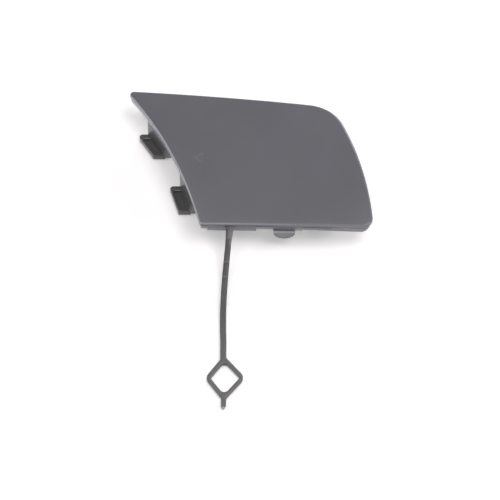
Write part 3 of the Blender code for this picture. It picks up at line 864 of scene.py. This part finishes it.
class SnapArms(bpy.types.Operator):
    """Builds the two snap arms behind the right hand side"""

    bl_idname = "tow_cover.snap_arms"
    bl_label = "Snap Arms"

    def execute(self, context):
        for number, start in ((1, 17 * MM), (2, 37 * MM)):
            self.snap_arm("snap_arm_%d" % number, start)
        return {"FINISHED"}

    def snap_arm(self, name, start):
        """One snap arm, which narrows to its toe and has a barb that points outward."""
        face = bpy.context.scene.face_sizes
        sizes = bpy.context.scene.back_sizes
        slant = face.top_right_inset / (face.height - face.top_fall)
        outer = face.lower_edge - slant * start - sizes.arm_inset
        inner = outer - sizes.arm_thickness
        root = crown(outer, start + sizes.arm_width / 2) - face.skin / 2
        profile = [
            Vector((inner, 0)), Vector((inner + sizes.arm_toe, 0)),
            Vector((outer + sizes.barb, sizes.barb_height)),
            Vector((outer, sizes.barb_height + sizes.barb_return)),
            Vector((outer, root)), Vector((inner, root)),
        ]
        radii = [radius * MM for radius in (0.3, 0.25, 0.35, 0.3, 0.2, 0.2)]
        width = sizes.arm_width
        soft = 0.25 * MM
        middle = soft * ARC_MIDDLE
        rings = []
        for inset, y in ((soft, 0), (middle, middle), (0, soft),
                         (0, width - soft), (middle, width - middle), (soft, width)):
            inner_radii = shrunk(radii, inset, least=0.03 * MM)
            points = rounded_outline(inset_corners(profile, inset), inner_radii, corner_steps=4)
            rings.append([Vector((p.x - slant * y, start + y, p.y)) for p in points])
        body = Body()
        body.loft(rings)
        body.piece(name, "bare_plastic")


class Hooks(bpy.types.Operator):
    """Builds the two hooks on the slanted left side"""

    bl_idname = "tow_cover.hooks"
    bl_label = "Hooks"

    def execute(self, context):
        # Name, near end of the foot's outer edge, length of the foot, and slant of the side behind it.
        for name, end, run, slant in (
                ("upper_hook", Vector((-21.1 * MM, 42.7 * MM)), 11.3 * MM, 0.652),
                ("lower_hook", Vector((-9.6 * MM, 14.15 * MM)), 12.9 * MM, 0.327)):
            body = Body()
            self.foot(body, end, run, slant)
            self.arm(body, end, run, slant)
            body.piece(name, "bare_plastic")
        return {"FINISHED"}

    def foot(self, body, end, run, slant):
        """The foot: a block with a pocket sunk in its top, which leaves a lip and two ribs."""
        sizes = bpy.context.scene.hook_sizes
        wide = sizes.reach + sizes.arm
        top = sizes.foot + sizes.lip_rise

        def spot(x, y):
            return Vector((end.x + x - slant * y, end.y + y))

        block = [spot(0, 0), spot(wide, 0), spot(wide, run), spot(0, run)]
        block_radii = (0.7 * MM, 0.3 * MM, 0.3 * MM, sizes.corner)
        soft = 0.3 * MM
        # The upper edge is rounded more finely: its two points stand at a third and two thirds of the turn.
        third = soft * 0.13
        block_levels = (
            (soft, 0),
            (soft * ARC_MIDDLE, soft * ARC_MIDDLE),
            (0, soft),
            (0, top - soft),
            (third, top - soft / 2),
            (soft / 2, top - third),
            (soft, top),
        )
        near = sizes.near_rib
        far = run - sizes.far_rib
        back = sizes.reach + sizes.arm / 2
        pocket = [spot(sizes.lip, near), spot(back, near), spot(back, far), spot(sizes.lip, far)]
        pocket_radii = (0.35 * MM,) * 4
        edge = 0.2 * MM
        draft = 0.05 * MM
        fillet = 0.25 * MM
        pocket_levels = (
            (-edge, top),
            (-edge * ARC_MIDDLE, top - edge * ARC_MIDDLE),
            (0, top - edge),
            (draft, sizes.foot + fillet),
            (draft + fillet, sizes.foot),
        )

        def levelled(corners, radii, levels):
            rings = []
            for inset, z in levels:
                points = rounded_outline(inset_corners(corners, inset), shrunk(radii, inset), side_steps=6)
                rings.append(flat_ring(points, z))
            return rings

        body.loft(levelled(block, block_radii, block_levels) + levelled(pocket, pocket_radii, pocket_levels))

    def arm(self, body, end, run, slant):
        """The leaning arm, which widens past the foot's far end. Its near right corner carries a painted
        highlight.
        """
        sizes = bpy.context.scene.hook_sizes
        lean = math.tan(sizes.lean)
        low = sizes.foot + sizes.lip_rise
        root = crown(end.x, end.y + run / 2) - bpy.context.scene.face_sizes.skin / 2
        flare = lean * (root - low) / slant
        bottom = 0.4 * MM
        near = 0.15 * MM
        radii = (0.3 * MM,) * 4
        levels = 10
        side_steps = 4
        corner_steps = 4
        rings = []
        for k in range(levels + 1):
            z = bottom + (root - bottom) * k / levels
            far = run + flare * max(0, (z - low) / (root - low))
            left = end.x + sizes.reach + lean * z
            right = left + sizes.arm
            corners = [
                Vector((left - slant * near, end.y + near)),
                Vector((right - slant * near, end.y + near)),
                Vector((right - slant * far, end.y + far)),
                Vector((left - slant * far, end.y + far)),
            ]
            points = rounded_outline(corners, radii, side_steps=side_steps, corner_steps=corner_steps)
            rings.append(flat_ring(points, z))
        # The pale layer on the near right corner is a painted highlight.
        second_corner = side_steps + corner_steps
        for row in body.loft(rings):
            for vert in row[second_corner:second_corner + corner_steps + 1]:
                vert[body.pale] = 1
        self.web(body, end, slant, lean, root)

    def web(self, body, end, slant, lean, root):
        """The web behind the arm, which ties its near end to the skin."""
        sizes = bpy.context.scene.hook_sizes
        # Painted light: the web is made paler all over.
        paleness = 0.6
        soft = 0.25 * MM
        middle = soft * ARC_MIDDLE
        low = 0.2 * MM
        near = 0.55 * MM
        far = near + sizes.web
        rings = []
        for inset, z in ((soft, low), (middle, low + middle), (0, low + soft), (0, root / 2), (0, root)):
            left = end.x + sizes.reach + sizes.arm / 2 + lean * z
            right = end.x + sizes.reach + sizes.arm + sizes.web_reach + lean * z - inset
            corners = [
                Vector((left - slant * near, end.y + near + inset)),
                Vector((right - slant * near, end.y + near + inset)),
                Vector((right - slant * far, end.y + far - inset)),
                Vector((left - slant * far, end.y + far - inset)),
            ]
            points = rounded_outline(corners, (soft,) * 4, side_steps=3, corner_steps=4)
            rings.append(flat_ring(points, z))
        body.loft(rings, pale=[paleness] * len(rings))


def lower_edge_place(x):
    """Where a feature stands on the lower edge, turned to follow the edge."""
    sizes = bpy.context.scene.face_sizes
    fall = sizes.lower_edge_fall / sizes.lower_edge
    return Matrix.Translation((x, -fall * x, 0)) @ Matrix.Rotation(-math.atan(fall), 4, "Z")


class EdgeWalls(bpy.types.Operator):
    """Builds the ledge, the tether's wall and the tongue under the lower edge"""

    bl_idname = "tow_cover.edge_walls"
    bl_label = "Edge Walls"

    def execute(self, context):
        sizes = context.scene.edge_sizes
        self.wall(
            "tongue_ledge", "bare_plastic",
            sizes.ledge_start, sizes.ledge_width, sizes.ledge_depth, proud=0.1 * MM)
        self.wall(
            "tether_wall", "primer_over_plastic",
            sizes.root_start, sizes.root_width, sizes.root_depth, proud=0.05 * MM)
        self.tongue(context.scene.face_sizes, sizes)
        return {"FINISHED"}

    def wall(self, name, material, start, width, depth, proud):
        """A wall along the lower edge that reaches deeper than the rim."""
        face = bpy.context.scene.face_sizes
        place = lower_edge_place(start + width / 2)
        surface = crown(place.translation.x, place.translation.y)
        front = face.rim_setback - proud
        back = front + face.rim_wall
        half = width / 2
        corners = [Vector((-half, front)), Vector((half, front)), Vector((half, back)), Vector((-half, back))]
        radii = (0.3 * MM,) * 4
        body = Body()
        # pale gives painted light in the wall's lower half.
        soft_block(body, corners, radii, surface - depth, surface - face.edge_radius, soft=0.2 * MM, pale=0.6)
        bmesh.ops.transform(body.mesh, matrix=place, verts=body.mesh.verts)
        body.piece(name, material)

    def tongue(self, face, sizes):
        """The rounded tongue, with a low bead around its face, and the neck that carries it."""
        place = lower_edge_place(sizes.tongue_start + sizes.tongue_width / 2)
        surface = crown(place.translation.x, place.translation.y)
        front = face.rim_setback - sizes.tongue_proud
        back = front + sizes.tongue_thickness
        steps = 30

        def outline(inset, y):
            half = sizes.tongue_width / 2 - inset
            bottom = surface - sizes.tongue_depth + inset
            top = surface - sizes.tongue_shoulder - inset
            height = sizes.tongue_round - inset
            points = [Vector((half, y, top)), Vector((-half, y, top))]
            for i in range(steps + 1):
                angle = math.pi * i / steps
                points.append(Vector((-half * math.cos(angle), y, bottom + height * (1 - math.sin(angle)))))
            return points

        dish = 0.24 * MM
        soft = 0.4 * MM
        middle = soft * ARC_MIDDLE
        # Inset, place from front to back, and paleness, which is painted light on the tongue's face and a
        # painted highlight on its rounded front edge.
        rows = (
            (1.2 * MM, front + dish, 0.9),
            (1.1 * MM, front + dish, 0.9),
            (0.8 * MM, front + 0.2 * MM, 0.85),
            (0.72 * MM, front + 0.04 * MM, 0.6),
            (soft, front, 0.9),
            (middle, front + middle, 2),
            (0, front + soft, 2),
            (0, back - soft, 1),
            (middle, back - middle, 0.5),
            (soft, back, 0.3),
        )
        body = Body()
        body.loft([outline(inset, y) for inset, y, pale in rows], pale=[pale for inset, y, pale in rows])
        self.neck(body, face, sizes, surface, front)
        bmesh.ops.transform(body.mesh, matrix=place, verts=body.mesh.verts)
        body.piece("tongue", "primer_over_plastic")

    def neck(self, body, face, sizes, surface, front):
        """The neck between the tongue and the rim, a little narrower than the tongue and overlapping it."""
        narrowing = 0.96
        overlap = sizes.tongue_round * 0.7
        clearance = 0.15 * MM
        half = sizes.tongue_width / 2 * narrowing
        start = front + sizes.tongue_thickness / 2
        end = face.rim_setback + face.rim_wall - clearance
        low = surface - sizes.tongue_depth + overlap
        corners = [Vector((-half, start)), Vector((half, start)), Vector((half, end)), Vector((-half, end))]
        radii = (0.1 * MM,) * 4
        soft_block(body, corners, radii, low, surface - face.edge_depth, soft=0.1 * MM)


def tether_point(t):
    """Middle of the strap's upper side at share t of its run, from its root to the loop."""
    face = bpy.context.scene.face_sizes
    sizes = bpy.context.scene.tether_sizes
    steepness = 3.2
    sunk = face.rim_wall * 0.7
    edge = lower_edge_place(sizes.start).translation
    start = Vector((edge.x, edge.y + face.rim_setback + sunk))
    root_height = crown(start.x, start.y) - sizes.root_drop
    low = sizes.thickness + sizes.lift
    fall = max(1 - t, 0) ** steepness
    return Vector((start.x - sway(t), start.y - sizes.run * t, low + (root_height - low) * fall))


def sway(t):
    """How far the strap has drifted to the left at share t: straight at first, then out and a little back."""
    straight = 0.085
    ease = 0.03
    drift = 0.6
    furthest = 1.27
    past = t - straight
    ramp = (past + math.hypot(past, ease)) / 2
    return bpy.context.scene.tether_sizes.sway * math.sin(min(ramp / drift, furthest) * math.pi / 2)


def loop_centre(sizes):
    """Middle of the diamond loop."""
    end = tether_point(1)
    return Vector((end.x + sizes.loop_offset, end.y - sizes.loop_half_length + sizes.loop_bar, 0))


def stub_tip(sizes):
    """The far end of the sprue stub."""
    centre = loop_centre(sizes)
    return Vector((centre.x - sizes.loop_skew, centre.y - sizes.loop_half_length - sizes.stub_length, 0))


def held(value):
    """A value held between 0 and 1."""
    return min(max(value, 0), 1)


class Tether(bpy.types.Operator):
    """Builds the strap, the diamond loop and the torn sprue stub"""

    bl_idname = "tow_cover.tether"
    bl_label = "Tether"

    def execute(self, context):
        sizes = context.scene.tether_sizes
        self.strap(sizes)
        self.loop(sizes)
        return {"FINISHED"}

    def strap(self, sizes):
        """The strap, swept down to the table, with rings closer together at its root and its ridges."""
        steps = 90
        crowding = 1.5
        shares = [(i / steps) ** crowding for i in range(steps + 1)]
        for ridge in sizes.first_ridge, sizes.second_ridge:
            shares += [(ridge + offset * MM) / sizes.run for offset in (-0.4, -0.2, 0.01, 0.2, 0.4)]
        sections = [self.section(sizes, t) for t in sorted(shares)]
        body = Body()
        rows = body.loft([ring for ring, paleness in sections])
        for row, (ring, paleness) in zip(rows, sections):
            for vert, pale in zip(row, paleness):
                vert[body.pale] = pale
        body.piece("tether_strap", "strap_plastic")

    def section(self, sizes, t):
        """The strap's ring at share t of its run, and how pale each of its points is, which is painted light.
        """
        soft = 0.45 * MM
        ridge_reach = 0.4 * MM
        ridge_height = 0.1 * MM
        fillet_start = 1.0 * MM
        fillet_run = 1.7 * MM
        fillet_left = 0.5 * MM
        fillet_right = 0.8 * MM
        fillet_top = 0.7 * MM
        pale_end = 9 * MM
        pale_fade = 2 * MM
        root_pale_left = 0.25
        start_pale = 0.18
        ridge_pale = 0.75
        right_half = 0.1 * MM
        narrowing = 1.5
        step = 0.005
        run = sizes.run * t
        here = tether_point(t)
        ahead = tether_point(min(t + step, 1)) - tether_point(max(t - step, 0))
        up = Vector((0, -ahead.z, ahead.y)).normalized()
        up = up if up.z > 0 else -up
        to_ridge = min(abs(run - sizes.first_ridge), abs(run - sizes.second_ridge))
        ridge = max(0, 1 - to_ridge / ridge_reach)
        taper = max(0, 1 - run / sizes.root_taper) ** narrowing
        fillet = held(1 - (run - fillet_start) / fillet_run) ** 2
        left = -sizes.width / 2 - fillet_left * fillet
        right = sizes.width / 2 + (sizes.root_width - sizes.width) * taper + fillet_right * fillet
        top = fillet_top * fillet + ridge_height * ridge
        low = -sizes.thickness
        corners = [Vector((left, low)), Vector((right, low)), Vector((right, top)), Vector((left, top))]
        outline = rounded_outline(corners, (soft,) * 4, corner_steps=4)
        # Painted light: the root's right side is paler than its left, there is a faint paling up to the first
        # ridge, and there is a painted highlight on each ridge.
        at_root = held((pale_end - run) / pale_fade)
        before_ridge = start_pale if run < sizes.first_ridge else 0
        on_right = max(before_ridge, ridge_pale * ridge, at_root)
        on_left = max(before_ridge, ridge_pale * ridge, at_root * root_pale_left)
        paleness = [on_right if p.x > right_half else on_left for p in outline]
        return [here + Vector((p.x, 0, 0)) + up * p.y for p in outline], paleness

    def loop(self, sizes):
        """The loop, with the strap's end and the stub run into it by fillets."""
        centre = loop_centre(sizes).to_2d()
        across = Vector((sizes.loop_half_width, 0))
        up = Vector((0, sizes.loop_half_length))
        skew = Vector((sizes.loop_skew, 0))
        shoulder = Vector((0, sizes.loop_shoulder))
        right_rise = 1.3
        right = centre + across + shoulder * right_rise
        top = centre + up - skew
        left = centre - across + shoulder
        bottom = centre - up - skew + Vector((0, sizes.loop_shortening))
        strap_x = tether_point(1).x
        half = sizes.width / 2
        stub = sizes.stub_width / 2
        tip = stub_tip(sizes)
        neck_y = top.y + 1.0 * MM

        def on_side(start, end, x):
            t = (x - start.x) / (end.x - start.x)
            return start + (end - start) * t

        # Each corner with its radius in millimetres, anticlockwise from the right.
        outside = (
            (right, 3.6),
            (on_side(top, right, strap_x + half), 1.6),
            (Vector((strap_x + half, neck_y)), 1.0),
            (Vector((strap_x - half, neck_y)), 1.0),
            (on_side(top, left, strap_x - half), 1.6),
            (left, 3.6),
            (on_side(bottom, left, bottom.x - stub), 1.4),
            (Vector((bottom.x - stub, tip.y + 1.1 * MM)), 0.3),
            (Vector((bottom.x - stub * 0.62, tip.y + 0.15 * MM)), 0.2),
            (Vector((bottom.x + stub * 0.25, tip.y)), 0.2),
            (Vector((bottom.x + stub, tip.y + 1.5 * MM)), 0.3),
            (on_side(bottom, right, bottom.x + stub), 1.4),
        )
        reach = sizes.loop_half_width * sizes.loop_half_length
        reach /= math.hypot(sizes.loop_half_width, sizes.loop_half_length)
        inner = 1 - sizes.loop_bar / reach
        hole = [
            (centre + (point - centre) * inner, radius)
            for point, radius in ((right, 0.8), (top, 1.9), (left, 0.8), (bottom, 1.9))]
        self.pierced(sizes, self.outline(outside, side_steps=4), self.outline(hole, side_steps=8))

    def outline(self, spots, side_steps):
        """A rounded outline from corners, each with its radius in millimetres."""
        corners = [corner for corner, radius in spots]
        radii = [radius * MM for corner, radius in spots]
        return rounded_outline(corners, radii, side_steps=side_steps, corner_steps=9)

    def pierced(self, sizes, outside, hole):
        """A bar shape from an outline with a hole, with well rounded edges all round."""
        tip = stub_tip(sizes).y
        outlines = (outside, list(reversed(hole)))
        body = Body()
        rows = []
        for inset, z in round_levels(sizes.loop_round, 0, sizes.loop_thickness, steps=6):
            rows.append([body.ring(flat_ring(self.drawn_in(outline, inset, tip), z)) for outline in outlines])
        for upper, lower in zip(rows, rows[1:]):
            for ring_above, ring_below in zip(upper, lower):
                body.join(ring_above, ring_below)
        for rings in (rows[0], rows[-1]):
            edges = [body.mesh.edges.get((ring[i - 1], ring[i])) for ring in rings for i in range(len(ring))]
            bmesh.ops.triangle_fill(body.mesh, use_beauty=True, use_dissolve=False, edges=edges)
        body.piece("tether_loop", "strap_plastic", sharp=50)

    def drawn_in(self, outline, inset, tip):
        """An outline moved into the bar, less so towards the thin end of the stub."""
        least = 0.12
        thin = 0.75 * MM
        growth = 2.2 * MM
        moved = []
        for i, point in enumerate(outline):
            run = (outline[(i + 1) % len(outline)] - outline[i - 1]).normalized()
            reach = inset * min(max((point.y - tip - thin) / growth, least), 1)
            moved.append(point + Vector((-run.y, run.x)) * reach)
        return moved


class PressMark(bpy.types.Operator):
    """Builds the small triangle in low relief that shows where to press the cover"""

    bl_idname = "tow_cover.press_mark"
    bl_label = "Press Mark"

    def execute(self, context):
        middle = Vector((-0.9 * MM, 32.4 * MM))
        corners = [middle + Vector((x * MM, y * MM)) for x, y in ((-2.0, 0), (1.9, -2.8), (1.9, 2.8))]
        radii = (0.3 * MM,) * 3
        # Inset and rise over the face, both in millimetres, and paleness, a faint painted highlight on the
        # raised top.
        profile = (
            (0, -0.3, 0),
            (0, 0.03, 0),
            (0.1, 0.09, 0.06),
            (0.38, 0.09, 0.06),
            (0.5, 0.03, 0),
            (0.5, -0.3, 0),
        )
        rings = []
        for inset, rise, pale in profile:
            points = rounded_outline(
                inset_corners(corners, inset * MM), shrunk(radii, inset * MM), side_steps=4, corner_steps=4)
            rings.append([Vector((p.x, p.y, crown(p.x, p.y) + rise * MM)) for p in points])
        body = Body()
        body.loft(rings, pale=[pale for inset, rise, pale in profile])
        body.piece("press_mark", "primer_over_plastic")
        return {"FINISHED"}


class Stage(bpy.types.Operator):
    """Builds the floor, the lamps, the world and the camera"""

    bl_idname = "tow_cover.stage"
    bl_label = "Stage"

    def execute(self, context):
        settings = context.scene.stage_settings
        self.floor(settings)
        self.world(settings)
        self.lamps(settings)
        self.camera(context, settings)
        context.scene.view_settings.view_transform = "Standard"
        return {"FINISHED"}

    def floor(self, settings):
        """A wide pale floor just under the table's height, which shows white and keeps the cover's shadow."""
        drop = 0.02 * MM
        white = (1, 1, 1, 1)
        table = (0.87, 0.845, 0.845, 1)
        mesh = bmesh.new()
        bmesh.ops.create_grid(mesh, x_segments=1, y_segments=1, size=4)
        data = bpy.data.meshes.new("floor")
        mesh.to_mesh(data)
        mesh.free()
        floor = bpy.data.objects.new("floor", data)
        floor.location.z = -drop
        bpy.context.scene.collection.objects.link(floor)
        material = "white_table"
        finish = new_finish(material)
        glow = finish.shows_background() * settings.floor_glow
        diffuse = finish.node("ShaderNodeBsdfDiffuse", None, {"Color": table})
        shine = finish.node("ShaderNodeEmission", None, {"Color": white, "Strength": glow})
        both = finish.node("ShaderNodeAddShader", None, {0: diffuse, 1: shine})
        finish.end("ShaderNodeOutputMaterial", both)
        data.materials.append(bpy.data.materials[material])

    def world(self, settings):
        """A surround that shows white, darker overhead, and lights the object only a little."""
        world = bpy.data.worlds.new("studio")
        bpy.context.scene.world = world
        world.use_nodes = True
        finish = Finish(world.node_tree)
        darkening = 0.85
        seen = finish.shows_background()
        up = finish.along(finish.node("ShaderNodeTexCoord", output="Generated"), "Z")
        shown = 1 - finish.between(up, low=0.25, high=0.8) * darkening
        strength = seen * shown + (1 - seen) * settings.world_light
        light = finish.node("ShaderNodeBackground", None, {"Color": (1, 1, 1, 1), "Strength": strength})
        finish.end("ShaderNodeOutputWorld", light)

    def lamps(self, settings):
        """Two soft boxes overhead at the right and left, and low lamps at the back and both sides."""
        box = 0.85
        low = 0.45
        for name, watts, size, place in (
                ("right_box", settings.right_power, box, (0.48, -0.08, 1.315)),
                ("left_box", settings.left_power, box, (-0.46, 0.2, 1.305)),
                ("back_lamp", settings.back_power, low, (0.65, 1.12, 0.52)),
                ("left_lamp", settings.low_power, low, (-1.2, -0.5, 0.52)),
                ("side_lamp", settings.low_power, low, (1.25, -0.35, 0.52))):
            data = bpy.data.lights.new(name, "AREA")
            data.shape = "DISK"
            data.size = size
            data.energy = watts
            lamp = bpy.data.objects.new(name, data)
            lamp.location = place
            lamp.rotation_euler = (-lamp.location).to_track_quat("-Z", "Y").to_euler()
            bpy.context.scene.collection.objects.link(lamp)

    def camera(self, context, settings):
        """The camera of the photograph: square to the cover's lower edge, and looking down on the table."""
        target = Vector((21.5 * MM, -3.3 * MM, 0))
        data = bpy.data.cameras.new("camera")
        data.sensor_width = 36
        data.lens = data.sensor_width * settings.camera_distance / settings.frame_width
        camera = bpy.data.objects.new("camera", data)
        aim = origin() + target
        elevation = settings.camera_elevation
        sight = Vector((0, -math.cos(elevation), math.sin(elevation)))
        camera.location = aim + sight * settings.camera_distance
        camera.rotation_euler = (math.pi / 2 - elevation, 0, 0)
        context.scene.collection.objects.link(camera)
        context.scene.camera = camera


OPERATORS = (FaceShell, Ribs, SnapArms, Hooks, EdgeWalls, Tether, PressMark, Stage)
GROUPS = (
    ("face_sizes", FaceSizes),
    ("back_sizes", BackSizes),
    ("hook_sizes", HookSizes),
    ("edge_sizes", EdgeSizes),
    ("tether_sizes", TetherSizes),
    ("finish_colours", FinishColours),
    ("stage_settings", StageSettings),
)


class CoverPanel(bpy.types.Panel):
    """Lists the steps that build the cover, and its sizes"""

    bl_idname = "VIEW3D_PT_tow_cover"
    bl_label = "Tow Cover"
    bl_space_type = "VIEW_3D"
    bl_region_type = "UI"
    bl_category = "Tow Cover"

    def draw(self, context):
        layout = self.layout
        for operator in OPERATORS:
            layout.operator(operator.bl_idname)
        for name, group in GROUPS:
            box = layout.box()
            box.label(text=group.__doc__.rstrip("."))
            sizes = getattr(context.scene, name)
            for key in group.__annotations__:
                box.prop(sizes, key)


def register():
    for name, group in GROUPS:
        bpy.utils.register_class(group)
        setattr(bpy.types.Scene, name, PointerProperty(type=group))
    for operator in OPERATORS:
        bpy.utils.register_class(operator)
    bpy.utils.register_class(CoverPanel)


def unregister():
    bpy.utils.unregister_class(CoverPanel)
    for operator in reversed(OPERATORS):
        bpy.utils.unregister_class(operator)
    for name, group in reversed(GROUPS):
        delattr(bpy.types.Scene, name)
        bpy.utils.unregister_class(group)


def main():
    """Builds every piece in order."""
    register()
    for operator in OPERATORS:
        family, name = operator.bl_idname.split(".")
        getattr(getattr(bpy.ops, family), name)()
    bpy.context.view_layer.update()


if __name__ == "__main__":
    main()
